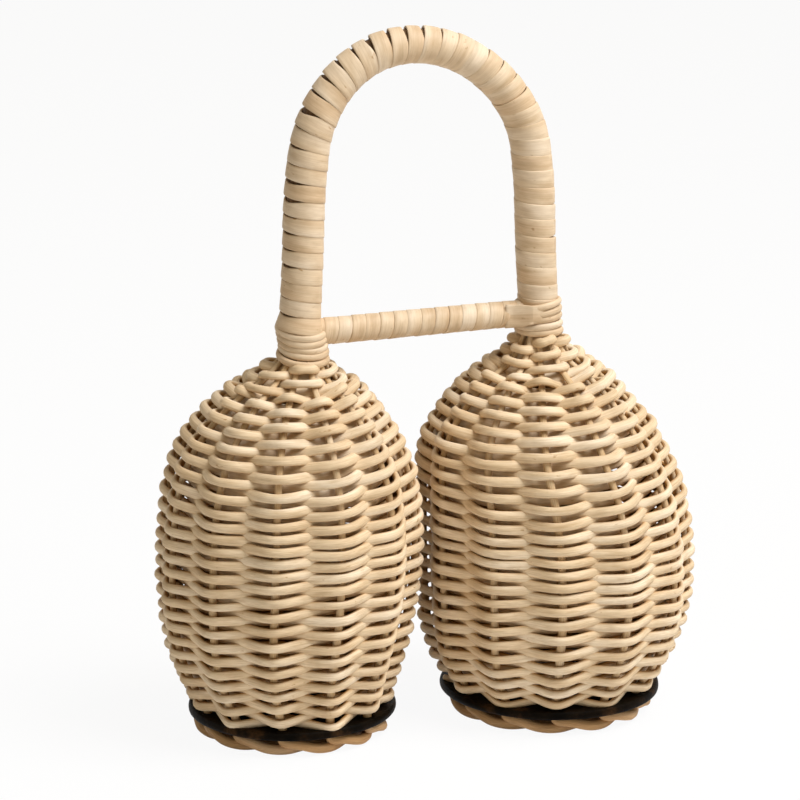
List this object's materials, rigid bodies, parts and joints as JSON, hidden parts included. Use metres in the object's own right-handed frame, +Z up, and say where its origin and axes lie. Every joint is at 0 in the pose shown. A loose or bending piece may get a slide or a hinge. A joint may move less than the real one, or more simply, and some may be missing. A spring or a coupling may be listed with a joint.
{
  "type": "double caxixi",
  "caption": "Double caxixi: paired closed cane baskets of seeds on gourd bases, under one cane-wrapped arch handle with a crossbar; it is shaken as a rattle.",
  "frame": {"origin": "on the floor, under the middle of the box that holds the whole instrument", "axes": "+Z up along the handle, +X from the left basket to the right one, -Y towards the player"},
  "size_m": [0.1774, 0.0888, 0.2289],
  "materials": {
    "stake_cane": "dry round cane, matt",
    "weaver_cane": "peeled round cane, matt",
    "wrap_cane": "flat cane, low sheen",
    "stick": "bare stick",
    "gourd": "dark dried gourd shell, waxed",
    "seed": "hard polished seed"
  },
  "bodies": {
    "frame": {"left_stake_01": "stake_cane", "left_stake_02": "stake_cane", "left_stake_03": "stake_cane", "left_stake_04": "stake_cane", "left_stake_05": "stake_cane", "left_stake_06": "stake_cane", "left_stake_07": "stake_cane", "left_stake_08": "stake_cane", "left_stake_09": "stake_cane", "left_stake_10": "stake_cane", "left_stake_11": "stake_cane", "left_stake_12": "stake_cane", "left_weaver_a": "weaver_cane", "left_weaver_b": "weaver_cane", "left_gourd_base": "gourd", "left_neck_binding": "wrap_cane", "right_stake_01": "stake_cane", "right_stake_02": "stake_cane", "right_stake_03": "stake_cane", "right_stake_04": "stake_cane", "right_stake_05": "stake_cane", "right_stake_06": "stake_cane", "right_stake_07": "stake_cane", "right_stake_08": "stake_cane", "right_stake_09": "stake_cane", "right_stake_10": "stake_cane", "right_stake_11": "stake_cane", "right_stake_12": "stake_cane", "right_weaver_a": "weaver_cane", "right_weaver_b": "weaver_cane", "right_gourd_base": "gourd", "right_neck_binding": "wrap_cane", "handle_core": "stick", "handle_wrap_left": "wrap_cane", "handle_wrap_right": "wrap_cane", "crossbar_core": "stick", "crossbar_wrap": "wrap_cane"},
    "left_thrown_seeds": {"left_seed_01": "seed", "left_seed_02": "seed", "left_seed_03": "seed", "left_seed_04": "seed", "left_seed_05": "seed"},
    "left_swept_seeds": {"left_seed_06": "seed", "left_seed_07": "seed", "left_seed_08": "seed", "left_seed_09": "seed", "left_seed_10": "seed"},
    "right_thrown_seeds": {"right_seed_01": "seed", "right_seed_02": "seed", "right_seed_03": "seed", "right_seed_04": "seed", "right_seed_05": "seed"},
    "right_swept_seeds": {"right_seed_06": "seed", "right_seed_07": "seed", "right_seed_08": "seed", "right_seed_09": "seed", "right_seed_10": "seed"}
  },
  "joints": [
    {"name": "left_seed_bounce", "type": "slide", "parent": "frame", "child": "left_thrown_seeds", "axis": [0, 0, 1], "range_m": [0, 0.08]},
    {"name": "left_seed_sweep", "type": "slide", "parent": "frame", "child": "left_swept_seeds", "axis": [0, 1, 0], "range_m": [-0.006, 0.006]},
    {"name": "right_seed_bounce", "type": "slide", "parent": "frame", "child": "right_thrown_seeds", "axis": [0, 0, 1], "range_m": [0, 0.08]},
    {"name": "right_seed_sweep", "type": "slide", "parent": "frame", "child": "right_swept_seeds", "axis": [0, 1, 0], "range_m": [-0.006, 0.006]}
  ]
}
